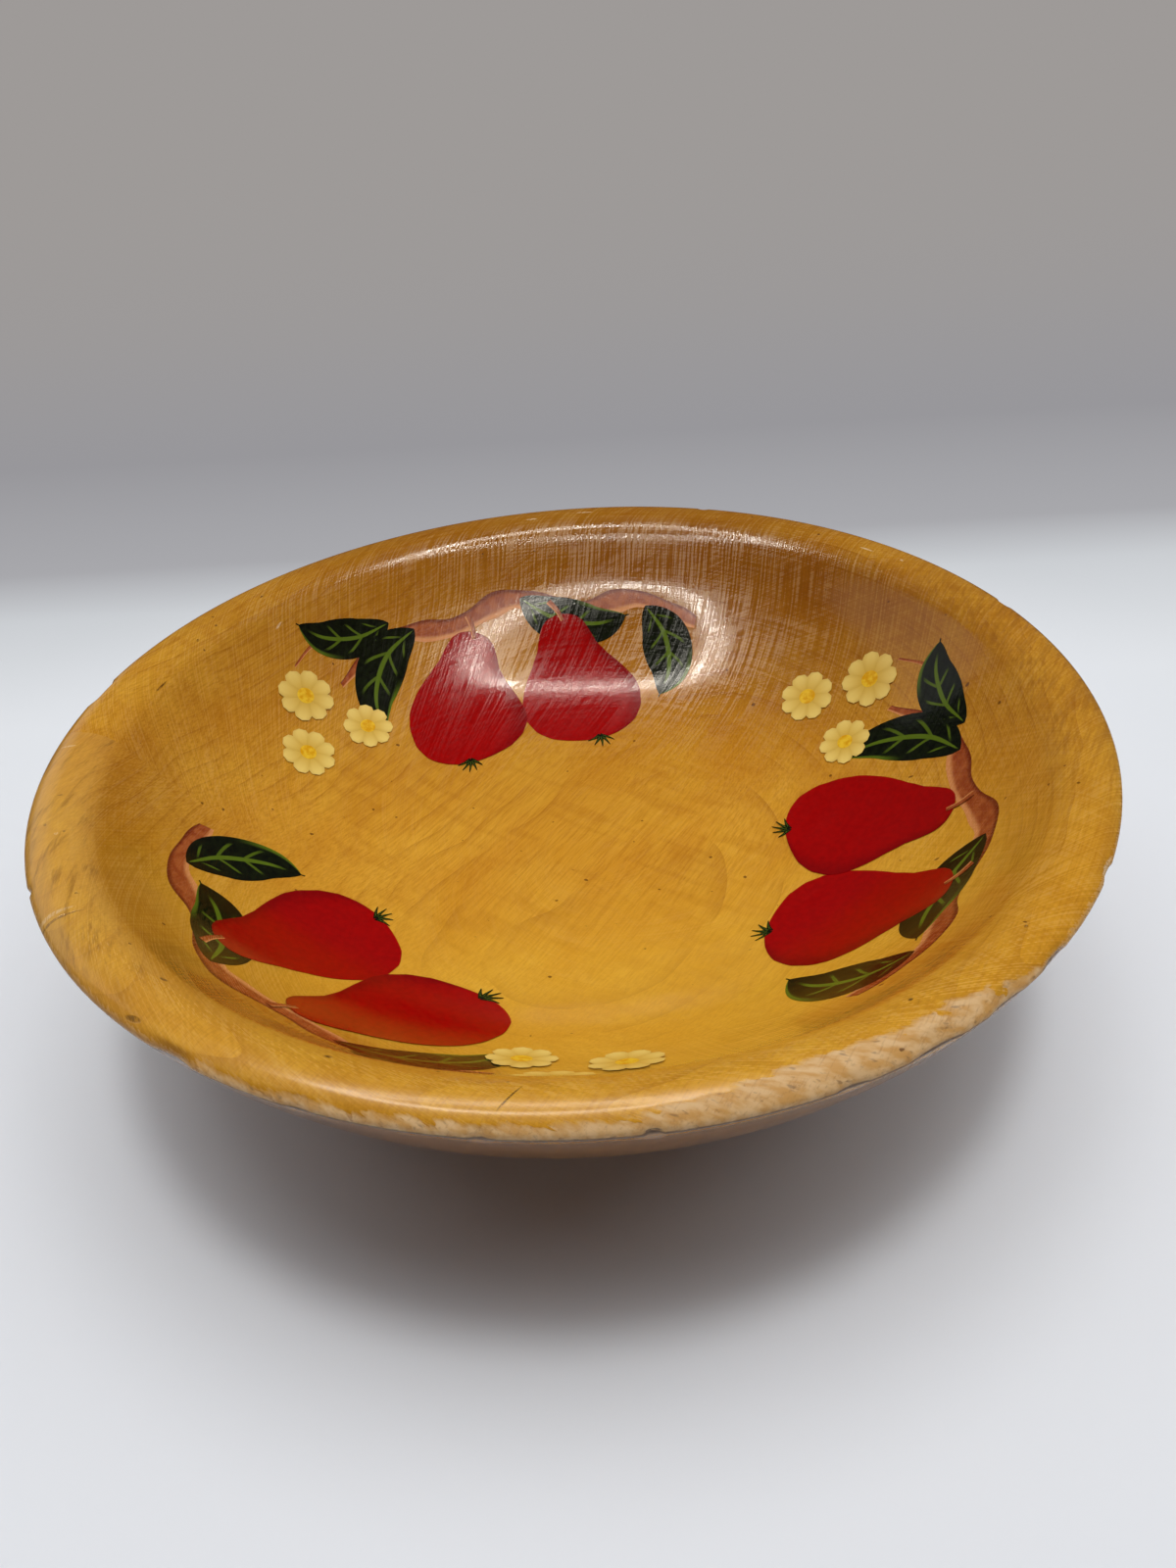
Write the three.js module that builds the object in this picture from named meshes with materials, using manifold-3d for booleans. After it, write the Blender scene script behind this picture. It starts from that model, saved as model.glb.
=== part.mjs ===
// A footed wooden bowl: a bowl turned from one piece of maple, on three turned bun feet.
// Each foot is held by a hardwood pin, glued in a blind hole in the foot and in the bowl.
// Millimetres, +Z up. The origin is under the middle of the bowl, on the surface it stands on.
// The back is +Y.

import * as THREE from "three";
import { mergeVertices } from "three/addons/utils/BufferGeometryUtils.js";
import Module from "manifold-3d";

const wasm = await Module();
wasm.setup();

// Driving dimensions of the bowl
const RIM_DIAMETER = 330; // across the sharp outer edge of the rim
const INSIDE_DEPTH = 65.5; // from the floor up to the outer edge of the rim
const BASE_THICKNESS = 13; // from the underside up to the floor
const FLOOR_DIAMETER = 78; // flat middle of the floor
const BASE_DIAMETER = 152; // flat underside
const OUTER_WALL_RADIUS = 140; // the belly outside is one arc of this radius
const RIM_OUTER_ROLL_RADIUS = 6.1; // the rim from its outer edge up to its crest
const RIM_INNER_ROLL_RADIUS = 18; // the rim from its crest down into the bowl
const RIM_OUTER_SLOPE = 60; // degrees, slope of the outer roll where it ends at the outer edge
const WALL_SLOPE = 57; // degrees, slope of the inner roll where it runs into the inside wall
const RIM_EDGE_ROUNDING = 1.4; // how far the outer edge is sanded back, along each face
const BASE_EDGE_ROUNDING = 2.5; // the same at the edge of the underside

// How far the two ends of the inside wall lead on before they bend, as shares of its length
const COVE_LEAD = 0.22;
const WALL_LEAD = 0.52;

// Driving dimensions of the feet and their pins
const FOOT_DIAMETER = 32; // round the belly of a bun
const FOOT_HEIGHT = 22;
const FOOT_SOLE_DIAMETER = 18; // flat that stands on the table
const FOOT_SEAT_DIAMETER = 24; // flat that meets the bowl
const FOOT_BELLY_SHARE = 0.52; // height of the widest place, as a share of the foot's height
const FOOT_INSET = 3; // from the edge of the underside in to the belly of a foot
const DOWEL_DIAMETER = 8;
const DOWEL_CHAMFER = 0.8;
const WOOD_OVER_DOWEL = 4; // bowl left between a dowel hole and the floor
const WOOD_UNDER_DOWEL = 6; // foot left between a dowel hole and the sole

// Clearances
const GLUE_GAP = 0.3; // glue film round a dowel, and between a foot and the bowl
const DOWEL_END_ROOM = 0.7; // room for glue past each end of a dowel

// Smoothness
const BOWL_SIDES = 96;
const FOOT_SIDES = 32;
const DOWEL_SIDES = 24;
const OUTER_ROLL_STEPS = 5;
const INNER_ROLL_STEPS = 7;
const INSIDE_WALL_STEPS = 12;
const OUTER_WALL_STEPS = 8;
const EDGE_STEPS = 2;
const FOOT_STEPS = 6;

const FEET = [
  { place: "back", angle: 90 },
  { place: "front_left", angle: 210 },
  { place: "front_right", angle: 330 },
];

// Heights and radii that follow from the sizes above
const rimRadius = RIM_DIAMETER / 2;
const undersideZ = FOOT_HEIGHT + GLUE_GAP;
const floorZ = undersideZ + BASE_THICKNESS;
const rimEdgeZ = floorZ + INSIDE_DEPTH;
const footCircleRadius = BASE_DIAMETER / 2 - FOOT_INSET - FOOT_DIAMETER / 2;
const holeRadius = DOWEL_DIAMETER / 2 + GLUE_GAP;
const bowlHoleDepth = BASE_THICKNESS - WOOD_OVER_DOWEL;
const footHoleDepth = FOOT_HEIGHT - WOOD_UNDER_DOWEL;

// A point of a profile: distance from the axis, then height.
function at(radius, z) {
  return new THREE.Vector2(radius, z);
}

// The direction that climbs outward at a slope given in degrees.
function heading(slope) {
  const angle = THREE.MathUtils.degToRad(slope);
  return at(Math.cos(angle), Math.sin(angle));
}

// Points of an arc about a centre, from one direction to another, both in degrees from the outward radius.
function arcPoints(centre, radius, fromAngle, toAngle, steps) {
  const points = [];
  for (let i = 0; i <= steps; i += 1) {
    const angle = fromAngle + ((toAngle - fromAngle) * i) / steps;
    points.push(heading(angle).multiplyScalar(radius).add(centre));
  }
  return points;
}

// Points of an outward-bulging arc of a given radius from a lower point to a higher, wider one.
function bulgePoints(low, high, radius, steps) {
  const chord = high.clone().sub(low);
  const half = chord.length() / 2;
  const inward = at(-chord.y, chord.x).normalize();
  const middle = low.clone().add(high).multiplyScalar(0.5);
  const centre = middle.add(inward.multiplyScalar(Math.sqrt(radius * radius - half * half)));
  const lowAngle = THREE.MathUtils.radToDeg(Math.atan2(low.y - centre.y, low.x - centre.x));
  const highAngle = THREE.MathUtils.radToDeg(Math.atan2(high.y - centre.y, high.x - centre.x));
  return arcPoints(centre, radius, lowAngle, highAngle, steps);
}

// Joins two runs of points that meet in a corner, with the corner sanded back by a distance along each run.
function roundedJoin(first, second, distance, steps) {
  const corner = second[0];
  const before = pointAlong(first.slice().reverse(), distance);
  const after = pointAlong(second, distance);
  const rounding = new THREE.QuadraticBezierCurve(before.point, corner, after.point).getPoints(steps);
  const kept = first.slice(0, first.length - before.passed);
  return [...kept, ...rounding, ...second.slice(after.passed)];
}

// The point at a distance along a run of points, and how many points it has passed.
function pointAlong(points, distance) {
  let left = distance;
  for (let i = 1; i < points.length; i += 1) {
    const step = points[i].distanceTo(points[i - 1]);
    if (step > left) {
      return { point: points[i - 1].clone().lerp(points[i], left / step), passed: i };
    }
    left -= step;
  }
  return { point: points[points.length - 1].clone(), passed: points.length };
}

// A closed solid of revolution about Z from a profile that starts and ends on the axis.
function turned(profile, sides) {
  return closed(new THREE.LatheGeometry(profile, sides).rotateX(Math.PI / 2));
}

// Merges shared vertices and drops the faces that shrink to nothing on the axis.
function closed(geometry) {
  geometry.deleteAttribute("normal");
  geometry.deleteAttribute("uv");
  const merged = mergeVertices(geometry, 1e-4);
  const corners = merged.index.array;
  const kept = [];
  for (let i = 0; i < corners.length; i += 3) {
    const [a, b, c] = corners.slice(i, i + 3);
    if (a !== b && b !== c && c !== a) {
      kept.push(a, b, c);
    }
  }
  merged.setIndex(kept);
  return merged;
}

function toManifold(geometry) {
  const mesh = new wasm.Mesh({
    numProp: 3,
    vertProperties: Float32Array.from(geometry.attributes.position.array),
    triVerts: Uint32Array.from(geometry.index.array),
  });
  return new wasm.Manifold(mesh);
}

function toGeometry(solid) {
  const mesh = solid.getMesh();
  const geometry = new THREE.BufferGeometry();
  geometry.setAttribute("position", new THREE.BufferAttribute(mesh.vertProperties, 3));
  geometry.setIndex(new THREE.BufferAttribute(mesh.triVerts, 1));
  return geometry;
}

// The rolled rim, from the outer edge over the crest to the inside wall: a tight arc, then a wide one
// that shares its tangent at the crest.
function rimRoll(edge) {
  const outerCentre = edge.clone().sub(heading(90 - RIM_OUTER_SLOPE).multiplyScalar(RIM_OUTER_ROLL_RADIUS));
  const outer = arcPoints(outerCentre, RIM_OUTER_ROLL_RADIUS, 90 - RIM_OUTER_SLOPE, 90, OUTER_ROLL_STEPS);
  const crest = outer[outer.length - 1];
  const innerCentre = crest.clone().sub(at(0, RIM_INNER_ROLL_RADIUS));
  const inner = arcPoints(innerCentre, RIM_INNER_ROLL_RADIUS, 90, 90 + WALL_SLOPE, INNER_ROLL_STEPS);
  return [...outer, ...inner.slice(1)];
}

// The bowl's outline, from the middle of the underside, up the outside, over the rim and down to the floor.
function bowlProfile() {
  const edge = at(rimRadius, rimEdgeZ);
  const baseEdge = at(BASE_DIAMETER / 2, undersideZ);
  const roll = rimRoll(edge);
  const belly = bulgePoints(baseEdge, edge, OUTER_WALL_RADIUS, OUTER_WALL_STEPS);
  const underside = [at(0, undersideZ), baseEdge];

  const wallTop = roll[roll.length - 1];
  const floorEdge = at(FLOOR_DIAMETER / 2, floorZ);
  const wallLength = wallTop.distanceTo(floorEdge);
  const wall = new THREE.CubicBezierCurve(
    wallTop,
    wallTop.clone().sub(heading(WALL_SLOPE).multiplyScalar(WALL_LEAD * wallLength)),
    floorEdge.clone().add(at(COVE_LEAD * wallLength, 0)),
    floorEdge,
  ).getPoints(INSIDE_WALL_STEPS);

  const outside = roundedJoin(underside, belly, BASE_EDGE_ROUNDING, EDGE_STEPS);
  const overRim = roundedJoin(outside, roll, RIM_EDGE_ROUNDING, EDGE_STEPS);
  return [...overRim, ...wall.slice(1), at(0, floorZ)];
}

// The shape that cuts the blind hole for one dowel up into the underside.
function dowelHoleCutter(x, y) {
  const below = FOOT_HEIGHT / 2;
  const cutter = new THREE.CylinderGeometry(holeRadius, holeRadius, bowlHoleDepth + below, DOWEL_SIDES);
  cutter.rotateX(Math.PI / 2);
  cutter.translate(x, y, undersideZ + (bowlHoleDepth - below) / 2);
  return toManifold(closed(cutter));
}

function bowlGeometry(places) {
  let bowl = toManifold(turned(bowlProfile(), BOWL_SIDES));
  for (const { x, y } of places) {
    bowl = bowl.subtract(dowelHoleCutter(x, y));
  }
  return toGeometry(bowl);
}

// A bun foot: sole, swelling belly and seat, with a blind hole for the dowel in its top.
function footGeometry() {
  const bellyZ = FOOT_BELLY_SHARE * FOOT_HEIGHT;
  const soleRadius = FOOT_SOLE_DIAMETER / 2;
  const seatRadius = FOOT_SEAT_DIAMETER / 2;
  const bellyRadius = FOOT_DIAMETER / 2;
  const lower = new THREE.CubicBezierCurve(
    at(soleRadius, 0),
    at((soleRadius + bellyRadius) / 2, 0),
    at(bellyRadius, bellyZ / 2),
    at(bellyRadius, bellyZ),
  ).getPoints(FOOT_STEPS);
  const upper = new THREE.CubicBezierCurve(
    at(bellyRadius, bellyZ),
    at(bellyRadius, (bellyZ + FOOT_HEIGHT) / 2),
    at((seatRadius + bellyRadius) / 2, FOOT_HEIGHT),
    at(seatRadius, FOOT_HEIGHT),
  ).getPoints(FOOT_STEPS);
  const holeFloorZ = FOOT_HEIGHT - footHoleDepth;
  const hole = [at(holeRadius, FOOT_HEIGHT), at(holeRadius, holeFloorZ), at(0, holeFloorZ)];
  return turned([at(0, 0), ...lower, ...upper.slice(1), ...hole], FOOT_SIDES);
}

// A pin with chamfered ends, as long as its two holes allow.
function dowelGeometry() {
  const length = bowlHoleDepth + GLUE_GAP + footHoleDepth - 2 * DOWEL_END_ROOM;
  const radius = DOWEL_DIAMETER / 2;
  const tip = radius - DOWEL_CHAMFER;
  const profile = [
    at(0, 0),
    at(tip, 0),
    at(radius, DOWEL_CHAMFER),
    at(radius, length - DOWEL_CHAMFER),
    at(tip, length),
    at(0, length),
  ];
  return turned(profile, DOWEL_SIDES);
}

function wood(color, roughness) {
  return new THREE.MeshStandardMaterial({ color, roughness, metalness: 0 });
}

function piece(name, geometry, material) {
  const mesh = new THREE.Mesh(geometry, material);
  mesh.name = name;
  return mesh;
}

function footedBowl() {
  const places = FEET.map(({ place, angle }) => {
    const spot = heading(angle).multiplyScalar(footCircleRadius);
    return { place, x: spot.x, y: spot.y };
  });
  const group = new THREE.Group();
  group.add(piece("bowl", bowlGeometry(places), wood(0xcd8e24, 0.38)));
  for (const { place, x, y } of places) {
    const foot = piece(`foot_${place}`, footGeometry(), wood(0xb9781c, 0.45));
    foot.position.set(x, y, 0);
    const dowel = piece(`dowel_${place}`, dowelGeometry(), wood(0xd9b98a, 0.8));
    dowel.position.set(x, y, WOOD_UNDER_DOWEL + DOWEL_END_ROOM);
    group.add(foot, dowel);
  }
  return group;
}

export default footedBowl();
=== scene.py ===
# %% [markdown]
# # A turned and painted wooden fruit bowl
#
# The bowl is one piece of maple, turned on a lathe, stained amber and lacquered, with fruit and
# flowers painted round the inside. It stands on three small turned feet. The imported solid model
# gives every size. Here each piece is made again with a finer surface, and gets its finish.
#
# The first cell loads the solid model, and a helper reads the box of any of its parts. The
# finished pieces must stay inside it.

# %% Load the solid model
import math

import bmesh
import bpy
import numpy as np
from mathutils import Matrix, Vector


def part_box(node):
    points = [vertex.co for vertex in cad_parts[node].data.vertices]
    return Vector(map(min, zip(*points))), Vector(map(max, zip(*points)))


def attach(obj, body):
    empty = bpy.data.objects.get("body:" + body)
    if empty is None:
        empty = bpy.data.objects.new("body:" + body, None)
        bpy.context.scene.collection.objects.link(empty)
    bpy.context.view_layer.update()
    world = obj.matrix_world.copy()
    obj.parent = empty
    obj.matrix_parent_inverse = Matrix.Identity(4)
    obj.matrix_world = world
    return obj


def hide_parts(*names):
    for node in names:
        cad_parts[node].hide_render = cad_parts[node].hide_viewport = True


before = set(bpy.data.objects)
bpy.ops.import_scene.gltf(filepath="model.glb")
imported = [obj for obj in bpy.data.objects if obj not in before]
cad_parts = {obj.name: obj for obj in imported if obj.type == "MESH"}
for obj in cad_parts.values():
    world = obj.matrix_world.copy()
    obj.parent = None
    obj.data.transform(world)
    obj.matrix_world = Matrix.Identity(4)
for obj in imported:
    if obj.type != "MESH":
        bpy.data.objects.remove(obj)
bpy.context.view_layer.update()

MM = 0.001

# %% [markdown]
# ## The outline of a turned piece
#
# Anything made on a lathe is its outline swept round the turning axis. The outline could be drawn
# again by hand, but the solid model already holds it: the points of its mesh that lie on the +X
# side of the axis are one half of the section. Walking from point to point along the mesh edges
# puts them in order.

# %% Read an outline from a node
ON_SECTION = 0.002
OFF_AXIS = 0.5


def meridian(node, axis_x=0.0, axis_y=0.0):
    """The half section of a turned node as a list of (radius, height), in mm, in walking order."""
    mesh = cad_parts[node].data
    found = {}
    for vertex in mesh.vertices:
        x, y, z = (c / MM for c in vertex.co)
        if abs(y - axis_y) < ON_SECTION and x - axis_x > OFF_AXIS:
            found[vertex.index] = (round(x - axis_x, 3), round(z, 3))
    neighbours = {}
    for edge in mesh.edges:
        a, b = edge.vertices
        if a in found and b in found and found[a] != found[b]:
            neighbours.setdefault(found[a], set()).add(found[b])
            neighbours.setdefault(found[b], set()).add(found[a])
    ends = sorted((p for p in neighbours if len(neighbours[p]) == 1), key=lambda p: -p[1])
    walk = [ends[0]]
    while True:
        ahead = [p for p in neighbours[walk[-1]] if p not in walk]
        if not ahead:
            return walk
        walk.append(ahead[0])


bowl_outline = meridian("bowl")
print("bowl outline", len(bowl_outline), "points, from", bowl_outline[0], "to", bowl_outline[-1])

# %% [markdown]
# The solid's outline has flat steps. A wood turner's gouge leaves a flowing curve, so a smooth
# curve is drawn through the points. At each point the direction of the curve is a blend of the
# two chords that meet there, and the chord on the straighter side counts for more. That keeps a
# long gentle wall from bulging where it meets a small rounded edge. A sharp corner stays sharp.

# %% Draw a smooth curve through an outline
CORNER = math.radians(38)


def smooth(points, spacing, turn=math.radians(6)):
    """A flowing curve through points, with a new point for each spacing mm and for each turn."""
    p = np.array(points, float)
    chord = np.diff(p, axis=0)
    length = np.hypot(chord[:, 0], chord[:, 1])
    angle = np.unwrap(np.arctan2(chord[:, 1], chord[:, 0]))
    bend = np.diff(angle)
    arrive, leave = angle.copy(), angle.copy()
    for i in range(1, len(p) - 1):
        if abs(bend[i - 1]) > CORNER:
            continue
        after = abs(bend[i]) if i < len(bend) and abs(bend[i]) < CORNER else abs(bend[i - 1])
        before = abs(bend[i - 2]) if i > 1 and abs(bend[i - 2]) < CORNER else abs(bend[i - 1])
        after, before = after + 1e-3, before + 1e-3
        way = (after * angle[i - 1] + before * angle[i]) / (after + before)
        arrive[i - 1], leave[i] = way, way
    curve = [p[0]]
    for i, size in enumerate(length):
        start = leave[i] if i else 2 * angle[0] - arrive[0]
        end = arrive[i] if i < len(length) - 1 else 2 * angle[-1] - leave[-1]
        if abs(start - angle[i]) > CORNER or abs(end - angle[i]) > CORNER:
            start, end = angle[i], angle[i]
        steps = max(1, math.ceil(size / spacing + abs(end - start) / turn))
        for k in range(1, steps + 1):
            t = k / steps
            h = np.array([2 * t**3 - 3 * t**2 + 1, t**3 - 2 * t**2 + t, 3 * t**2 - 2 * t**3, t**3 - t**2])
            pull = size * np.array([[math.cos(start), math.sin(start)], [math.cos(end), math.sin(end)]])
            curve.append(h[0] * p[i] + h[1] * pull[0] + h[2] * p[i + 1] + h[3] * pull[1])
    return np.array(curve)


MESH_SPACING = 3.2
bowl_curve = smooth(bowl_outline, MESH_SPACING)
print("bowl curve", len(bowl_curve), "points")

# %% [markdown]
# Places on the bowl are easiest to give the way a turner would mark them: an angle round the rim,
# and a distance along the surface from the outermost edge. Going inwards over the rim and down
# into the bowl the distance is positive, and going down the outside it is negative. A table turns
# such a place into a point in space, with the direction that the surface faces. It comes from a
# second curve, drawn about ten times finer than the mesh, so that the direction changes evenly.

# %% A table of the surface
TABLE_SPACING = 0.3
TABLE_TURN = math.radians(0.8)


def reach_along(curve):
    """The distance of each point of a curve from the outermost one, positive inwards."""
    walked = np.concatenate([[0], np.cumsum(np.hypot(*np.diff(curve, axis=0).T))])
    return walked[int(np.argmax(curve[:, 0]))] - walked


from_edge = reach_along(bowl_curve)
RIM_RADIUS = bowl_curve[:, 0].max()
FLOOR_START = from_edge[0]
print("rim radius %.2f mm, floor starts %.1f mm from the edge" % (RIM_RADIUS, FLOOR_START))

fine_curve = smooth(bowl_outline, TABLE_SPACING, TABLE_TURN)
fine_reach = reach_along(fine_curve)
slope = np.gradient(fine_curve, -fine_reach, axis=0)
slope /= np.hypot(slope[:, 0], slope[:, 1])[:, None]
facing = np.stack([-slope[:, 1], slope[:, 0]], axis=1)


def section_at(reach):
    """Radius, height, and how far the surface faces outwards and upwards, at some distances."""
    order = slice(None, None, -1)
    return [np.interp(reach, fine_reach[order], c[order]) for c in (*fine_curve.T, *facing.T)]


print("table of", len(fine_curve), "points")

# %% [markdown]
# Wood goes on drying after it is turned, and it shrinks more across the grain than along it. So
# an old bowl isn't quite round, and its rim isn't quite level: this one is nearly a millimetre
# narrower one way, and its rim rises and falls by a little over three millimetres. Smaller waves
# round the rim add to that. The shift grows from nothing at the edge of the base to its full size
# at the rim.

# %% The warp of an old bowl
NARROWING = 0.86
NARROW_WAY = math.radians(118.8)
SAG = 1.667
LEVEL_WAY = math.radians(46.9)
WARP_STARTS = 76.0
WARP_POWER = 1.6
WAVES = [(1, -0.233, 0.308), (3, 0.331, 0.029), (4, -0.313, 0.143), (5, 0.132, 0.037)]
WAVES_SHIFT = 0.12


def warp(radius, azimuth, height):
    """Where a point of the true turned shape lies now, as x, y, z in mm."""
    share = np.clip((radius - WARP_STARTS) / (RIM_RADIUS - WARP_STARTS), 0, 1) ** WARP_POWER
    out = -NARROWING * (1 + np.cos(2 * (azimuth - NARROW_WAY))) / 2 - WAVES_SHIFT
    for n, with_cos, with_sin in WAVES:
        out = out + with_cos * np.cos(n * azimuth) + with_sin * np.sin(n * azimuth)
    r = radius + share * out
    z = height - share * SAG * (1 - np.cos(2 * (azimuth - LEVEL_WAY)))
    return np.stack([r * np.cos(azimuth), r * np.sin(azimuth), z], axis=-1)


def on_surface(azimuth, reach, lift=0.0):
    """The point at an angle and a distance from the edge, lifted off the surface by some mm."""
    radius, height, outwards, upwards = section_at(reach)
    return warp(radius + lift * outwards, azimuth, height + lift * upwards)


print("wall point", on_surface(np.array([0.0]), np.array([60.0])).round(2))

# %% [markdown]
# ## Materials as sums
#
# A material in Blender is a graph of nodes. Written out link by link it is long and hard to
# read, so one small class stands for a value that the shader works out at each point, and the
# signs + - * / work on it as they do on numbers. Each sign adds one Math node. Two methods are
# used most: near makes a soft mask round one value, such as one distance from the edge, and tint
# lays a share of another colour over a colour.

# %% A value in a shader
def tone(*codes):
    """A colour as a picture shows it, 0 to 255, as the light values that a shader needs."""
    light = [((c / 255 + 0.055) / 1.055) ** 2.4 if c > 10 else c / 255 / 12.92 for c in codes]
    return (*light, 1.0)


def maths(operation, swapped=False):
    """A method that adds one Math node, for a value alone or with another one."""

    def method(self, *others):
        values = (*others, self) if swapped else (self, *others)
        return self.finish.node("ShaderNodeMath", {"operation": operation}, dict(enumerate(values)))

    return method


class Wire:
    """One output of a node. Sums written with it add Math nodes."""

    __add__, __radd__ = maths("ADD"), maths("ADD", swapped=True)
    __sub__, __rsub__ = maths("SUBTRACT"), maths("SUBTRACT", swapped=True)
    __mul__, __rmul__ = maths("MULTIPLY"), maths("MULTIPLY", swapped=True)
    __truediv__, __pow__, __abs__ = maths("DIVIDE"), maths("POWER"), maths("ABSOLUTE")
    root, fraction, largest, angle_from = maths("SQRT"), maths("FRACT"), maths("MAXIMUM"), maths("ARCTAN2")

    def __init__(self, finish, socket):
        self.finish = finish
        self.socket = socket

    def step(self, low, high, start=0.0, end=1.0):
        """Eases from start to end as the value goes from low to high."""
        ends = {"From Min": low, "From Max": high, "To Min": start, "To Max": end}
        return self.finish.node(
            "ShaderNodeMapRange", {"interpolation_type": "SMOOTHSTEP"}, {"Value": self, **ends}
        )

    def near(self, middle, full, faded, level=1.0, rest=0.0):
        """The level up to a distance of full from the middle, easing to rest at faded."""
        return abs(self - middle).step(full, faded, level, rest)

    def fade(self, low, high):
        """Eases from 1 to 0 as the value goes from low to high."""
        return self.step(low, high, 1, 0)

    def tint(self, share, *codes):
        """This colour, with a share of the one whose picture codes are given laid over it."""
        return self.finish.mix(share, self, tone(*codes))


print("amber in light values", [round(c, 3) for c in tone(205, 142, 36)[:3]])

# %% [markdown]
# The second class holds one material, or the world's background. One method adds a node of any
# type: the settings go in first, because they decide which sockets the node has, and then the
# sockets get their values or links. The other methods are short names for what comes up often.

# %% A material
class Finish:
    """A material under construction."""

    def __init__(self, name, store=bpy.data.materials):
        self.material = store.new(name)
        self.material.use_nodes = True
        self.tree = self.material.node_tree
        self.tree.nodes.clear()

    def node(self, kind, settings=None, sockets=None, output=0):
        """Adds a node and returns one of its outputs."""
        node = self.tree.nodes.new(kind)
        for name, value in (settings or {}).items():
            if name == "stops":
                ramp = node.color_ramp
                while len(ramp.elements) < len(value):
                    ramp.elements.new(1.0)
                for element, (position, colour) in zip(ramp.elements, value):
                    element.position = position
                    element.color = colour
            else:
                setattr(node, name, value)
        enabled = [s for s in node.inputs if s.enabled]
        for key, value in (sockets or {}).items():
            socket = enabled[key] if isinstance(key, int) else next(s for s in enabled if s.name == key)
            if isinstance(value, Wire):
                self.tree.links.new(value.socket, socket)
            else:
                socket.default_value = value
        outputs = [s for s in node.outputs if s.enabled]
        found = outputs[output] if isinstance(output, int) else next(s for s in outputs if s.name == output)
        return Wire(self, found)

    def mix(self, factor, a, b):
        """A colour between a and b."""
        colours = {"Factor": factor, "A": a, "B": b}
        return self.node("ShaderNodeMix", {"data_type": "RGBA"}, colours)

    def place(self, scale=(1000, 1000, 1000), turn=0.0, shift=(0, 0, 0)):
        """The point on the object, in mm, turned about the vertical axis and stretched."""
        spot = self.node("ShaderNodeTexCoord", output="Object")
        moves = {"Vector": spot, "Location": shift, "Rotation": (0, 0, turn), "Scale": (1000, 1000, 1000)}
        turned = self.node("ShaderNodeMapping", None, moves)
        stretch = [s / 1000 for s in scale]
        return self.node("ShaderNodeVectorMath", {"operation": "MULTIPLY"}, {0: turned, 1: stretch})

    def noise(self, vector, size, detail=2.0, roughness=0.5):
        """Cloudy noise from 0 to 1 with features of about size mm."""
        settings = {"Vector": vector, "Scale": 1 / size, "Detail": detail, "Roughness": roughness}
        return self.node("ShaderNodeTexNoise", None, settings)

    def parts(self, vector):
        """The three numbers of a vector."""
        return [self.node("ShaderNodeSeparateXYZ", None, {"Vector": vector}, output=k) for k in range(3)]

    def bump(self, height):
        """The direction that a surface faces when it has a height in mm."""
        return self.node("ShaderNodeBump", None, {"Strength": 1.0, "Distance": MM, "Height": height})

    def surface(self, colour, roughness, height, others):
        """Ends a material with the Principled shader."""
        sockets = {"Base Color": colour, "Roughness": roughness, "Normal": self.bump(height)}
        return self.finish("ShaderNodeBsdfPrincipled", {**sockets, **others})

    def finish(self, shader, sockets, end="ShaderNodeOutputMaterial"):
        """Adds the last nodes and gives the finished material."""
        out = self.node(shader, None, sockets)
        self.tree.links.new(out.socket, self.tree.nodes.new(end).inputs["Surface"])
        return self.material


def show(thing):
    """Puts an object into the scene."""
    bpy.context.scene.collection.objects.link(thing)


# %% [markdown]
# ## The camera
#
# The picture was taken with a wide lens from close by and above, and held a little askew. The
# values were found by fitting the bowl's outline in the picture, and are given in pixels of a
# picture 1200 wide and 1600 high, in degrees, and in mm.

# %% Place the camera
PICTURE_HEIGHT = 1600
FOCAL_PIXELS = 1136.74
SENSOR = 36.0
PITCH = math.radians(35.773)
ROLL = math.radians(-3.499)
EYE = (3.85, -304.55, 289.02)

ahead = np.array([0, math.cos(PITCH), -math.sin(PITCH)])
right = np.array([1.0, 0, 0])
up = np.cross(right, ahead)
right, up = (
    math.cos(ROLL) * right + math.sin(ROLL) * up,
    math.cos(ROLL) * up - math.sin(ROLL) * right,
)
camera = bpy.data.objects.new("camera", bpy.data.cameras.new("camera"))
camera.data.sensor_width = SENSOR
camera.data.lens = FOCAL_PIXELS * SENSOR / PICTURE_HEIGHT
camera.data.clip_start = 0.01
camera.matrix_world = Matrix(
    [[right[k], up[k], -ahead[k], EYE[k] * MM] for k in range(3)] + [[0, 0, 0, 1]]
)
show(camera)
bpy.context.scene.camera = camera
bpy.context.scene.view_settings.view_transform = "Standard"
print("lens %.2f mm" % camera.data.lens)

# %% [markdown]
# ## The studio
#
# The bowl stands in a small white photo box lit by a ring of lamps overhead. A white sheet runs
# over the floor and curves up behind. It is one strip of mesh, swept sideways, with a large curve
# where the floor turns into the wall, so that no corner shows. The wall is further off than any
# view of the bowl needs.

# %% Floor and backdrop
STAGE_HALF_WIDTH = 2.2
STAGE_FRONT = -2.0
WALL_DISTANCE = 1.35
WALL_CURVE = 0.45
WALL_HEIGHT = 1.8
CURVE_STEPS = 24

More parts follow.
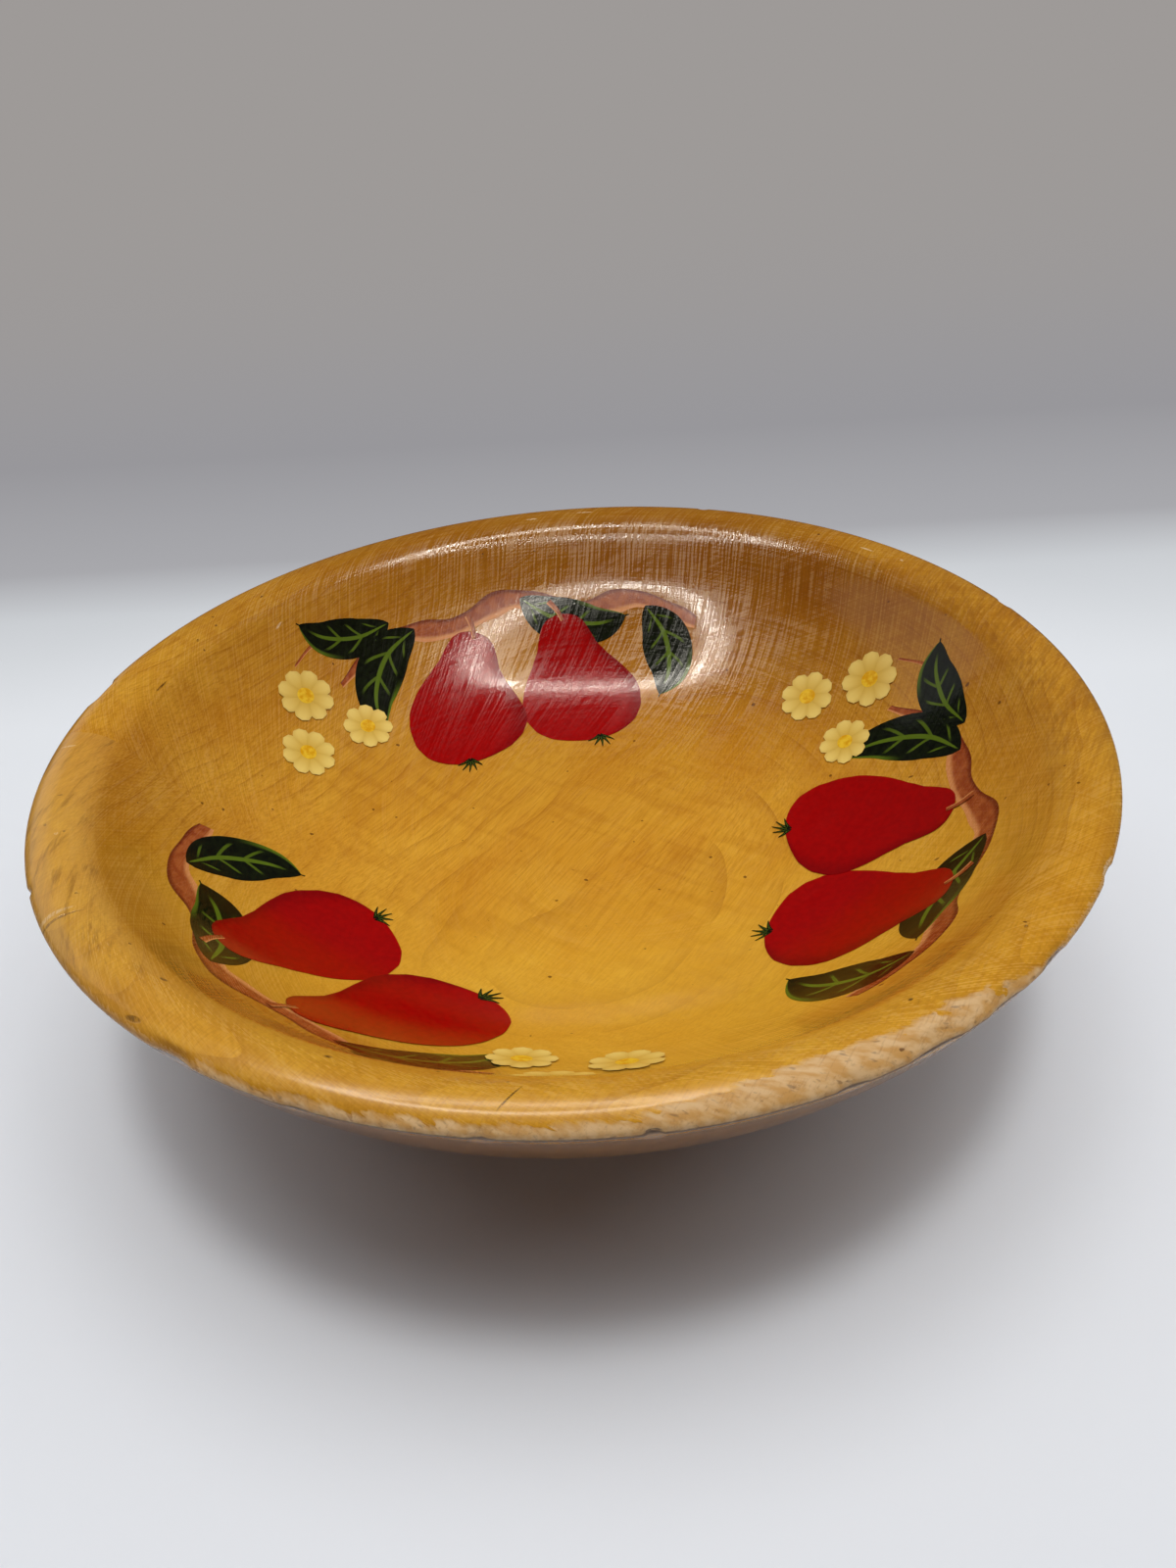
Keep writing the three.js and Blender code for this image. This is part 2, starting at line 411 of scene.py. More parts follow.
curve_start = WALL_DISTANCE - WALL_CURVE
strip = [(STAGE_FRONT, 0.0), (curve_start, 0.0)]
for k in range(1, CURVE_STEPS + 1):
    angle = k / CURVE_STEPS * math.pi / 2
    strip.append((curve_start + WALL_CURVE * math.sin(angle), WALL_CURVE * (1 - math.cos(angle))))
strip.append((WALL_DISTANCE, WALL_HEIGHT))
corners = [(side * STAGE_HALF_WIDTH, y, z) for y, z in strip for side in (-1, 1)]
sheet = bpy.data.meshes.new("sheet")
sheet.from_pydata(corners, [], [(2 * k, 2 * k + 1, 2 * k + 3, 2 * k + 2) for k in range(len(strip) - 1)])
sheet.shade_smooth()
backdrop = bpy.data.objects.new("backdrop", sheet)
show(backdrop)
print("backdrop", len(strip), "lines")

# %% [markdown]
# Near the bowl the sheet is plain white cloth, so that it takes the bowl's shadow. Further off
# it shows the even tones of the photo box: white floor, then a soft step to grey where the back
# wall of the box begins. Those tones are given as light only where the camera sees them, so they
# put no light on the bowl. A reflection sees one dim tone there, as the box is open in front and
# its far corners are dark.

# %% The sheet's finish
CLOTH_MIDDLE_Y = -0.03
CLOTH_ENDS = (0.20, 0.42)
TONES_FROM, TONES_TO = -0.6, 1.4
WALL_SHARE = 0.8
BOX_TONES = [
    # how far back, from 0 to 1, and the tone there
    (0.0, tone(214, 217, 221)),
    (0.33, tone(224, 227, 231)),
    (0.42, tone(203, 206, 210)),
    (0.47, tone(168, 168, 172)),
    (0.62, tone(152, 151, 155)),
    (1.0, tone(158, 154, 152)),
]

paper = Finish("white_sheet")
x, y, z = paper.parts(paper.node("ShaderNodeNewGeometry", output="Position"))
from_middle = y - CLOTH_MIDDLE_Y
far = (x * x + from_middle * from_middle).root().step(*CLOTH_ENDS)
depth = (y + z * WALL_SHARE).step(TONES_FROM, TONES_TO)
shade = paper.node("ShaderNodeValToRGB", {"stops": BOX_TONES}, {0: depth})
camera_ray, glossy_ray = (
    paper.node("ShaderNodeLightPath", output=name) for name in ("Is Camera Ray", "Is Glossy Ray")
)
shade = paper.mix(camera_ray, tone(60, 62, 66), shade)
cloth = paper.node("ShaderNodeBsdfDiffuse", None, {"Color": (0.80, 0.83, 0.87, 1)})
glow = paper.node("ShaderNodeEmission", None, {"Color": shade, "Strength": 1.0})
plain = far * camera_ray.largest(glossy_ray)
backdrop.data.materials.append(paper.finish("ShaderNodeMixShader", {0: plain, 1: cloth, 2: glow}))
print("sheet finish", len(paper.tree.nodes), "nodes")

# %% [markdown]
# The ring in the roof of the box can be seen in the bowl itself: the lacquer on the back wall
# mirrors it as a bright loop, and the roll of the rim as thin lines. Its size and place were
# worked out from that loop. A ring of short strip lamps stands for it. A dim panel at the left
# stands for the side of the box, which the right wall mirrors as a pale veil. Both light the
# gloss alone. The light on the wood and on the sheet comes from four soft lamps, which the gloss
# doesn't mirror. Their ways and widths follow the edge of the bowl's shadow. The background adds
# the little light that the box throws back, and is pale where the camera looks past the sheet.

# %% One lamp
def hang(name, kind, energy, for_gloss):
    """A lamp for the gloss alone, or for all but the gloss."""
    lamp = bpy.data.lights.new(name, kind)
    lamp.energy = energy
    holder = bpy.data.objects.new(name, lamp)
    holder.visible_diffuse = not for_gloss
    holder.visible_glossy = for_gloss
    show(holder)
    return lamp, holder


def facing_way(way):
    """The turn that makes a lamp shine from a way towards the bowl."""
    return Vector(way).to_track_quat("Z", "Y").to_euler()


# %% [markdown]
# The ring's sizes are in mm. It is an oval, and its long side is turned a little. Each of its
# strips lies along the oval and shines down. The panel's sizes are in metres, like those of the
# sheet.

# %% Lamps for the gloss
RING_CENTRE = (-37.3, 10.7)
RING_HALF = (109.7, 93.8)
RING_TURN = math.radians(37)
RING_HEIGHT = 400.8 - SAG
RING_STRIPS = 24
RING_BREADTH = 10.0
RING_WATTS = 1.0
RING_COLOUR = (1.0, 0.95, 0.84)
PANEL_WATTS = 0.22
PANEL_SIZE = (0.5, 0.3)
PANEL_PLACE = (-0.42, 0.22, 0.30)
PANEL_WAY = (-1, 0.15, 0.1)

strip_length = math.pi * (RING_HALF[0] + RING_HALF[1]) / RING_STRIPS
for k in range(RING_STRIPS):
    angle = 2 * math.pi * k / RING_STRIPS
    lamp, holder = hang("ring_%02d" % k, "AREA", RING_WATTS / RING_STRIPS, True)
    lamp.shape = "RECTANGLE"
    lamp.size = RING_BREADTH * MM
    lamp.size_y = strip_length * MM
    lamp.color = RING_COLOUR
    oval = Vector((RING_HALF[0] * math.cos(angle), RING_HALF[1] * math.sin(angle)))
    x, y = Matrix.Rotation(RING_TURN, 2) @ oval + Vector(RING_CENTRE)
    holder.location = Vector((x, y, RING_HEIGHT)) * MM
    holder.rotation_euler = (0, 0, angle + RING_TURN)
print("ring strips of %.1f mm" % strip_length)

panel, holder = hang("side_panel", "AREA", PANEL_WATTS, True)
panel.shape = "RECTANGLE"
panel.size, panel.size_y = PANEL_SIZE
holder.location = PANEL_PLACE
holder.rotation_euler = facing_way(PANEL_WAY)

# %% [markdown]
# A lamp of type Sun shines from the same way everywhere, so it needs no place. Its angle is how
# wide it looks, and a wide one gives a soft shadow. The narrow one makes the shadow's clear edge.

# %% Soft lamps and the background
SKY = 0.080
SOFT_LAMPS = [
    # name, where it stands seen from the bowl, its width in degrees, its level
    ("softbox", (0.016, 0.056, 1.0), 41, 1.16),
    ("softbox_front", (0.045, -0.103, 1.0), 10, 0.68),
    ("softbox_left", (-0.54, 0.058, 1.0), 36, 0.41),
    ("softbox_right", (0.664, -0.016, 1.0), 36, 0.55),
]

for name, way, width, level in SOFT_LAMPS:
    lamp, holder = hang(name, "SUN", level, False)
    lamp.angle = math.radians(width)
    holder.rotation_euler = facing_way(way)

sky = Finish("photo_box", bpy.data.worlds)
dim = sky.node("ShaderNodeBackground", None, {"Color": (1.0, 0.84, 0.84, 1), "Strength": SKY})
pale = sky.node("ShaderNodeBackground", None, {"Color": tone(214, 217, 221), "Strength": 1.0})
camera_ray = sky.node("ShaderNodeLightPath", output="Is Camera Ray")
bpy.context.scene.world = sky.finish(
    "ShaderNodeMixShader", {0: camera_ray, 1: dim, 2: pale}, "ShaderNodeOutputWorld"
)
print("soft lamps", len(SOFT_LAMPS))

# %% [markdown]
# ## The bowl
#
# The bowl is the smooth curve swept round the axis in 600 steps, from the middle of the floor,
# up the wall, over the rim and down the outside to the flat base. It could be a Screw modifier
# on a curve, but building the rings directly lets every point know how far it is from the edge,
# which the worn rim needs later. Two helpers come first: one joins two rings with faces, and the
# other makes a piece of points and faces and lets it ride on the bowl's body.

# %% Helpers for solid pieces
SHARP_EDGE = math.radians(40)


def ring_faces(first, second, count):
    """Quads between two closed loops of points."""
    return [(first + k, first + (k + 1) % count, second + (k + 1) % count, second + k) for k in range(count)]


def add_piece(name, points, faces, material):
    """A mesh object in the scene that rides on the bowl's body. Points are in mm."""
    mesh = bpy.data.meshes.new(name)
    mesh.from_pydata((np.asarray(points) * MM).tolist(), [], faces)
    work = bmesh.new()
    work.from_mesh(mesh)
    bmesh.ops.recalc_face_normals(work, faces=work.faces)
    work.to_mesh(mesh)
    work.free()
    mesh.shade_smooth()
    mesh.set_sharp_from_angle(angle=SHARP_EDGE)
    mesh.materials.append(material)
    made = bpy.data.objects.new(name, mesh)
    show(made)
    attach(made, "root")
    return made


# %% [markdown]
# The rim has had knocks. The largest left a shallow flat in the outer edge at the back left.
# Smaller ones are a millimetre or two across. Each is a soft dent that pushes points inwards.

# %% Dents in the rim
BOWL_SIDES = 600
DENTS = [
    # azimuth in degrees, then in mm: distance from the edge, length, height and depth of the dent
    (170.0, 0.0, 17.0, 5.0, 1.5),
    (17.8, 1.0, 7.0, 3.5, 0.9),
    (-34.0, 0.5, 9.0, 3.0, 0.7),
    (-47.0, 0.0, 10.0, 2.5, 0.6),
    (-85.5, -0.5, 4.0, 2.5, 0.8),
    (-152.0, 0.0, 3.5, 2.5, 0.8),
    (-112.0, 0.5, 6.0, 2.5, 0.5),
    (-70.0, 0.0, 8.0, 3.0, 0.6),
    (-62.0, 0.5, 14.0, 4.0, 0.8),
    (-54.0, 0.5, 12.0, 3.5, 0.7),
    (-124.0, 0.0, 12.0, 3.0, 0.8),
    (-98.0, 0.0, 5.0, 2.5, 0.5),
    (68.0, 3.0, 4.0, 3.0, 0.5),
]


def dent_depth(azimuth, reach):
    """How far in mm the surface is pushed in at a place."""
    depth = np.zeros_like(azimuth)
    for centre, height, length, tall, deep in DENTS:
        away = (azimuth - math.radians(centre) + math.pi) % (2 * math.pi) - math.pi
        u = away * RIM_RADIUS / (length / 2)
        v = (reach - height) / tall
        depth = np.maximum(depth, deep * np.clip(1 - u * u, 0, 1) ** 0.7 * np.clip(1 - v * v, 0, 1))
    return depth


print("dents", len(DENTS))

# %% [markdown]
# The floor is a fan of triangles in the middle and rings of quads round it. Each ring of the wall
# and the rim is pushed in by its dents and then warped. The belly outside swells a little past
# the solid's, most of all halfway down.

# %% Build the bowl's mesh
FLOOR_RINGS = 13
FIRST_RING = 1.5
FULLER_BELLY = 0.65

floor_radius, floor_z = bowl_curve[0]
base_z = bowl_curve[-1, 1]
floor_radii = np.linspace(FIRST_RING, floor_radius, FLOOR_RINGS)[:-1]
around = np.arange(BOWL_SIDES) * 2 * math.pi / BOWL_SIDES
rings, reaches = [], []
for radius in floor_radii:
    rings.append(warp(np.full(BOWL_SIDES, radius), around, np.full(BOWL_SIDES, floor_z)))
    reaches.append(FLOOR_START + floor_radius - radius)
for (radius, height), reach in zip(bowl_curve, from_edge):
    outwards, upwards = section_at(reach)[2:]
    push = dent_depth(around, np.full(BOWL_SIDES, reach))
    if reach < 0:
        push = push - FULLER_BELLY * math.sin(math.pi * reach / from_edge[-1])
    rings.append(warp(radius - push * outwards, around, height - push * upwards))
    reaches.append(reach)
points = np.concatenate([[[0, 0, floor_z]], *rings])
point_reach = np.concatenate([[FLOOR_START + floor_radius], np.repeat(reaches, BOWL_SIDES)])
faces = [(0, 1 + (k + 1) % BOWL_SIDES, 1 + k) for k in range(BOWL_SIDES)]
for k in range(len(rings) - 1):
    faces += ring_faces(1 + k * BOWL_SIDES, 1 + (k + 1) * BOWL_SIDES, BOWL_SIDES)
print("bowl rings", len(rings), "points", len(points))

# %% [markdown]
# Each foot is held by a pin in a blind hole, a cylinder a little wider than the pin, cut up into
# the flat base. The base is filled between its outer ring and the three round hole mouths in one
# flat piece. The points of the holes count as far past the edge, so no wear reaches them.

# %% Close the base round the pin holes
HOLE_GAP = 0.3
HOLE_END_ROOM = 0.7
HOLE_SIDES = 48
PAST_THE_BASE = 20
FEET = ("back", "front_left", "front_right")

base_loop = list(range(1 + (len(rings) - 1) * BOWL_SIDES, 1 + len(rings) * BOWL_SIDES))
extra, hole_loops, pins = [], [], {}
for foot in FEET:
    low, high = (np.array(corner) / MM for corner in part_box("dowel_" + foot))
    centre = (low + high) / 2
    pin_radius = (high[0] - low[0]) / 2
    pins[foot] = (float(centre[0]), float(centre[1]))
    r = pin_radius + HOLE_GAP
    mouth_start = len(points) + len(extra)
    end_start = mouth_start + HOLE_SIDES
    for height in (base_z, high[2] + HOLE_END_ROOM):
        for k in range(HOLE_SIDES):
            angle = k * 2 * math.pi / HOLE_SIDES
            extra.append((centre[0] + r * math.cos(angle), centre[1] + r * math.sin(angle), height))
    faces += ring_faces(mouth_start, end_start, HOLE_SIDES)
    faces.append(tuple(range(end_start, end_start + HOLE_SIDES)))
    hole_loops.append(list(range(mouth_start, end_start)))
points = np.concatenate([points, extra])
point_reach = np.concatenate([point_reach, np.full(len(extra), from_edge[-1] - PAST_THE_BASE)])

fill = bmesh.new()
loops = [base_loop, *hole_loops]
corners = {k: fill.verts.new(points[k]) for loop in loops for k in loop}
number = {vertex: k for k, vertex in corners.items()}
sides = [
    fill.edges.new((corners[here], corners[after]))
    for loop in loops
    for here, after in zip(loop, loop[1:] + loop[:1])
]
bmesh.ops.triangle_fill(fill, edges=sides, use_beauty=True, use_dissolve=False)
faces += [tuple(number[vertex] for vertex in face.verts) for face in fill.faces]
fill.free()
print("pins", pins)

# %% [markdown]
# ## Amber maple
#
# Maple has faint growth rings, fine fibres, small flecks and the broad soft bands called curl. A
# bowl like this is turned with the grain running straight across it, so the rings show as long
# lines over the floor and as arcs on the walls, and where the wall cuts across the fibres the
# stain soaks in deeper and looks browner. The rings are cylinders about a line deep below the
# bowl, tilted a little and wandering a little. Everything is worked out from the place in the
# wood, so the figure runs through the wood as the real one does.

# %% Wood figure
GRAIN_WAY = math.radians(57)
PITH_ACROSS, PITH_HEIGHT = -35.0, -150.0
PITH_TILT = 0.045
RING_WIDTH = 5.5
RING_WANDER = 26
DEEPER = [
    # a part of the figure that is a deeper amber, from where to where it comes in, and how much
    ("mottle", 0.45, 0.80, 0.15),
    ("fibre", 0.35, 0.75, 0.50),
    ("curl", 0.46, 0.70, 0.24),
]


def wood_figure(finish):
    """The growth rings, fibres, flecks, clouds and curl of maple, each from 0 to 1."""

    def grained(stretch, size, detail, roughness=0.5):
        return finish.noise(finish.place(stretch, -GRAIN_WAY), size, detail, roughness)

    spot = finish.place(turn=-GRAIN_WAY)
    along, across, height = finish.parts(spot)
    drift = finish.noise(spot, 55, detail=2) - 0.5
    a = across - PITH_ACROSS + drift * RING_WANDER
    b = height - PITH_HEIGHT + along * PITH_TILT
    year = ((a * a + b * b).root() / RING_WIDTH).fraction()
    return {
        "rings": (year**7) * finish.noise(spot, 30, detail=1).step(0.38, 0.60),
        "fibre": grained((90, 1400, 1400), 1.0, 3, 0.62),
        "fleck": grained((260, 2600, 2600), 1.0, 1).step(0.66, 0.78),
        "cloud": grained((500, 1000, 1000), 34, 3, 0.55),
        "mottle": grained((600, 1000, 1000), 6.5, 3, 0.6),
        "curl": grained((190, 42, 42), 1.0, 2),
    }


def amber_wood(finish, figure, end_grain):
    """The colour of stained and lacquered maple."""
    colour = finish.mix(figure["cloud"].step(0.30, 0.70), tone(208, 145, 36), tone(220, 163, 48))
    for name, low, high, most in DEEPER:
        colour = colour.tint(figure[name].step(low, high, 0.0, most), 172, 104, 14)
    colour = colour.tint(figure["rings"] * 0.42, 150, 82, 12)
    colour = colour.tint(figure["fleck"] * 0.28, 120, 62, 10)
    return colour.tint(end_grain, 128, 66, 0)


# %% [markdown]
# The lacquer was rubbed down with fine abrasive before it was polished. That leaves fine hatching
# in the gloss: rings from the lathe, crossed by slanting strokes of the hand. The strokes are
# made in the plane of the surface, from the angle round the axis and the distance from the edge.
# They go into the bump, and into the roughness too, so a highlight breaks into fine streaks. On
# the rim the lacquer is worn off where the bowl was handled most, and the bare wood there is
# pale, dull and dirty.

# %% Places on the bowl, for its shader
DEGREE = math.pi / 180
MARK_RADIUS = 158


def bowl_places(finish):
    """The azimuth in degrees, the mm from the edge, and both as mm on the unrolled surface."""
    x, y = finish.parts(finish.place())[:2]
    azimuth = y.angle_from(x) * (1 / DEGREE)
    radius = (x * x + y * y).root()
    kind = {"attribute_name": "from_edge", "attribute_type": "GEOMETRY"}
    reach = finish.node("ShaderNodeAttribute", kind, output="Fac")
    flat = finish.node("ShaderNodeCombineXYZ", None, {0: azimuth * DEGREE * radius, 1: reach, 2: 0.0})
    return azimuth, reach, flat


def spot_mask(azimuth, reach, centre, height, length, breadth, slant):
    """A soft oval mark on the rim, 1 in the middle and 0 outside."""
    u = (azimuth - centre) * (DEGREE * MARK_RADIUS)
    v = reach - height
    c, s = math.cos(math.radians(slant)), math.sin(math.radians(slant))
    a = (u * c + v * s) / (length / 2)
    b = (v * c - u * s) / (breadth / 2)
    return (a * a + b * b).fade(0.35, 1.25)


def strongest(*masks):
    """The largest of several masks."""
    top = masks[0]
    for mask in masks[1:]:
        top = top.largest(mask)
    return top


# %% [markdown]
# Two short tables place the marks of use on the rim: dark ones, where dirt has settled in a
# scratch, a crack or a knot of the grain, and pale ones, where the lacquer is scraped.

# %% Marks on the rim
DARK_MARKS = [
    # azimuth in degrees, then in mm: distance from the edge, length, breadth, and slant in degrees
    (-145.3, 4.0, 1.0, 17.0, 4.0),
    (-161.5, 7.5, 1.4, 0.8, 0.0),
    (-160.0, 12.5, 1.0, 0.8, 0.0),
    (-148.5, 12.5, 1.0, 1.0, 0.0),
    (-138.7, 17.5, 1.2, 0.8, 0.0),
    (-131.5, 16.0, 2.6, 1.2, 10.0),
    (-129.0, 3.0, 5.0, 1.6, 12.0),
    (-112.0, 15.0, 2.6, 1.2, 0.0),
    (-96.0, 9.5, 0.5, 9.5, -30.0),
    (-61.0, 14.0, 1.4, 1.0, 0.0),
    (-46.5, 10.5, 1.3, 0.9, 0.0),
    (141.0, 13.0, 1.6, 0.9, 0.0),
    (150.5, 14.5, 1.3, 0.9, 0.0),
    (154.8, 15.5, 1.6, 1.0, 20.0),
    (166.0, 20.0, 8.0, 0.7, 0.0),
    (-152.0, 0.0, 3.0, 2.2, 0.0),
    (-85.5, -0.5, 4.0, 2.0, 0.0),
    (-47.5, 0.0, 12.0, 1.6, 0.0),
]
PALE_MARKS = [
    (-146.2, 4.0, 1.6, 14.0, 4.0),
    (-159.6, 10.5, 1.3, 1.3, 0.0),
    (-177.0, 7.0, 1.0, 5.0, 10.0),
    (-34.0, 1.5, 9.0, 1.6, 0.0),
    (18.0, 2.5, 5.0, 4.5, 0.0),
    (86.5, 9.5, 7.0, 1.0, 0.0),
    (95.0, 11.5, 5.0, 1.2, 0.0),
    (68.0, 5.0, 3.0, 1.6, 0.0),
    (34.0, 10.5, 1.6, 1.0, 0.0),
    (40.0, 11.5, 7.0, 0.8, 0.0),
    (142.0, 27.0, 5.0, 1.0, 20.0),
]

# %% [markdown]
# The wood is painted a lighter, sunnier gold in the front of the hollow, a painted pool of light,
# and painted browner towards the back, most of all on the back of the rim, as painted shade.

# %% The colour of the wood
maple = Finish("bowl_maple_lacquered")
azimuth, reach, flat = bowl_places(maple)
figure = wood_figure(maple)
grain_line = (math.cos(GRAIN_WAY), math.sin(GRAIN_WAY), 0)
face_way = maple.node("ShaderNodeNewGeometry", output="Normal")
cut = maple.node("ShaderNodeVectorMath", {"operation": "DOT_PRODUCT"}, {0: face_way, 1: grain_line})
end_grain = (cut * cut).step(0.03, 0.75, 0.0, 0.85) * figure["mottle"].step(0.2, 0.8, 0.75, 1.0)
colour = amber_wood(maple, figure, end_grain)
toward_back = maple.parts(maple.place())[1]
# Painted light and shade: lighter gold in the front of the hollow, browner towards the back.
painted_front_light = toward_back.step(-60, 0, 0.34, 0.0) * reach.step(24, 60, 0.35, 1.0)
colour = colour.tint(painted_front_light, 240, 188, 56)
colour = colour.tint(toward_back.step(0, 150, 0.0, 0.50), 140, 78, 6)
# Painted shade on the back of the rim.
painted_back_shade = toward_back.step(90, 150) * reach.near(8, 8, 16, 0.34)
colour = colour.tint(painted_back_shade, 122, 66, 2)
print("wood", len(maple.tree.nodes), "nodes")

# %% [markdown]
# The hatching is three noises pulled out into strokes. Where it is high the lacquer is painted a
# little paler, a painted sheen on the strokes, and where it is low a little darker. Further down
# the wall it fades.

# %% Hatching
HATCH_DEPTH = 0.034
HATCH_STROKES = [
    # slant in degrees, length and breadth of a stroke in mm, share
    (0, 40, 0.70, 0.24),
    (52, 30, 0.62, 0.50),
    (-48, 28, 0.75, 0.26),
]


def hatching(finish, flat):
    """Fine strokes of rubbing down: along the rim, and at a slant each way."""
    total = 0.0
    for angle, length, breadth, share in HATCH_STROKES:
        places = {"Vector": flat, "Angle": angle * DEGREE}
        turned = finish.node("ShaderNodeVectorRotate", {"rotation_type": "Z_AXIS"}, places)
        pull = (1 / length, 1 / breadth, 1)
        pulled = finish.node("ShaderNodeVectorMath", {"operation": "MULTIPLY"}, {0: turned, 1: pull})
        total = finish.noise(pulled, 1.0, detail=0) * share + total
    return total


hatch = hatching(maple, flat)
on_wall = reach.step(66, 92, 1.0, 0.30) * reach.step(-2.5, 0.5)
# Painted sheen: the high strokes are painted paler.
colour = colour.tint(hatch.step(0.50, 0.64, 0.0, 0.14) * on_wall, 238, 196, 110)
colour = colour.tint(hatch.step(0.36, 0.50, 0.16, 0.0) * on_wall, 120, 66, 8)
print("hatching of", len(HATCH_STROKES), "kinds of stroke")

# %% [markdown]
# The front of the rim is worn bare. A ramp along the edge says how broad the bare strip is from
# its left end to its right one, and cloudy noise makes its border ragged. Islands of lacquer are
# left in it. A narrow line of wear runs on round the whole edge.

# %% Worn edge
WORN_FROM, WORN_TO = -124, -45
WORN_BREADTH = 10.5
WORN_SHARES = [
    # how far along the worn stretch, and the share of the full breadth there
    (0.00, 0.0),
    (0.04, 0.20),
    (0.42, 0.24),
    (0.47, 0.28),
    (0.52, 0.50),
    (0.62, 0.78),
    (0.68, 0.86),
    (0.76, 0.66),
    (0.82, 0.74),
    (0.92, 0.22),
    (1.00, 0.0),
]

ends = {"Value": azimuth, "From Min": WORN_FROM, "From Max": WORN_TO}
stops = [(place, (share, share, share, 1.0)) for place, share in WORN_SHARES]
along = maple.node("ShaderNodeMapRange", None, ends)
width = maple.node("ShaderNodeValToRGB", {"stops": stops}, {0: along}) * WORN_BREADTH
ragged = maple.noise(flat, 7.0, detail=4, roughness=0.62) - 0.5
rags = maple.noise(flat, 1.6, detail=2, roughness=0.6) - 0.5
island = maple.noise(flat, 5.0, detail=2, roughness=0.5).step(0.60, 0.66, 0.0, 3.0)
lean = width - abs(reach - 0.3) + ragged * 6.5 + rags * 1.6 - island
worn = lean.step(-0.5, 1.1) * width.step(0.1, 0.8) * reach.step(-3.0, -1.2)
edge_rub = (abs(reach - 0.6) - rags * 3.0 - ragged * 2.0).step(0.5, 1.3, 0.75, 0.0)

bare = maple.mix(maple.noise(flat, 3.4, detail=3).step(0.35, 0.65), tone(200, 150, 82), tone(218, 180, 128))
bare = bare.tint(figure["fibre"].step(0.5, 0.75, 0.0, 0.4), 150, 100, 48)
grime = maple.noise(flat, 2.2, detail=2).step(0.60, 0.74, 0.0, 0.5)
bare = bare.tint(grime, 92, 62, 42)
worn_all = worn.largest(edge_rub * 0.55)
colour = maple.mix(worn_all, colour, bare)
print("worn from", WORN_FROM, "to", WORN_TO, "degrees")

# %% [markdown]
# The marks in the two tables come next, then a dark line along the sharp outer edge, and painted
# shade that makes the whole outside a darker brown, as under the rim. The edge at the left is
# greyed by handling, and a few small specks lie anywhere in the wood.

# %% Marks, dirt and specks
dark = strongest(*(spot_mask(azimuth, reach, *mark) for mark in DARK_MARKS))
light = strongest(*(spot_mask(azimuth, reach, *mark) for mark in PALE_MARKS))
patchy = maple.noise(flat, 0.9, detail=2).step(0.36, 0.56)
colour = colour.tint(light * patchy * 0.7, 232, 205, 158)
colour = colour.tint(dark * (0.35 + 0.65 * patchy) * 0.8, 70, 38, 14)
# A dark line along the sharp outer edge.
dark_edge_line = (abs(reach + 1.6) - rags * 1.2).step(0.3, 1.3, 0.8, 0.0)
colour = colour.tint(dark_edge_line, 66, 38, 20)
# Painted shade: the whole outside is painted a darker brown.
outside_shade = reach.step(-5.0, -1.8, 0.75, 0.0)
colour = colour.tint(outside_shade, 114, 72, 38)
handling = maple.noise(flat, 11.0, detail=3).step(0.42, 0.68, 0.04, 0.46) * reach.near(2.5, 2, 9)
left_edge = azimuth.near(-160, 10, 36, 1.0, 0.12)
colour = colour.tint(handling * left_edge * (1 - worn), 122, 84, 36)
specks = maple.noise(maple.place(), 2.6, detail=0).step(0.845, 0.88, 0.0, 0.8)
colour = colour.tint(specks, 96, 52, 12)
print("marks", len(DARK_MARKS), "dark and", len(PALE_MARKS), "pale")

# %% [markdown]
# The roll of the rim isn't alike all round either. On its right it has brown streaks along the
# grain, and on its left it is pale and smudged.

# %% The roll's right and left
streaks = maple.noise(maple.place((45, 620, 620), -GRAIN_WAY), 1.0, detail=3, roughness=0.6)
on_right = azimuth.near(6, 14, 40) * reach.near(11, 6, 15)
colour = colour.tint(streaks.step(0.36, 0.70, 0.2, 0.65) * on_right, 148, 92, 26)
on_left = azimuth.near(-162, 0, 52) * reach.near(9, 7, 15)
colour = colour.tint(on_left * 0.40, 216, 166, 84)
smudge = maple.noise(flat, 7.5, detail=5, roughness=0.68).step(0.50, 0.70, 0.0, 0.50)
colour = colour.tint(smudge * on_left.step(0.2, 0.6), 120, 78, 34)
print("colour of the bowl", len(maple.tree.nodes), "nodes")

# %% [markdown]
# The bump adds up small heights, in mm: the hatching, the fibres, and the waves and pores of the
# lacquer. The hatching is deeper on the inner side of the roll, and weaker in the middle of the
# front, which hands have polished. The outside is nearly smooth. Bare wood and dark marks lie
# deeper. The roughness follows the hatching too, and bare or much handled places are dull.

# %% The gloss of the bowl
pores = maple.noise(flat, 0.5, detail=2) - 0.5
polished = azimuth.near(-98, 24, 44) * reach.fade(8, 14)
rubbed = (1 + reach.near(18, 6, 12) * 1.5) * (1 - polished * 0.7)
height = hatch * HATCH_DEPTH * rubbed + figure["fibre"] * 0.004 + ragged * 0.02 + pores * 0.002
height = height * reach.step(-4, -1, 0.06, 1.0)
height = height - worn * 0.05 - dark * 0.10 + worn * rags * 0.05
handled = reach.near(4, 3, 12, 0.16) * azimuth.near(-95, 20, 50)
roughness = 0.07 + hatch.step(0.44, 0.57, 0.0, 0.20) * (1 - polished * 0.8)
roughness = roughness + worn_all * 0.45 + handled
bowl_maple = maple.surface(colour, roughness, height, {"IOR": 1.5})
bowl = add_piece("bowl_turned", points, faces, bowl_maple)
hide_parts("bowl")


def keep_reach(piece, reaches):
    """Stores each point's distance from the edge, for the shader to read."""
    attribute = piece.data.attributes.new("from_edge", "FLOAT", "POINT")
    attribute.data.foreach_set("value", np.array(reaches, np.float32))


keep_reach(bowl, point_reach)
print("bowl", len(bowl.data.polygons), "faces,", len(maple.tree.nodes), "nodes in its finish")

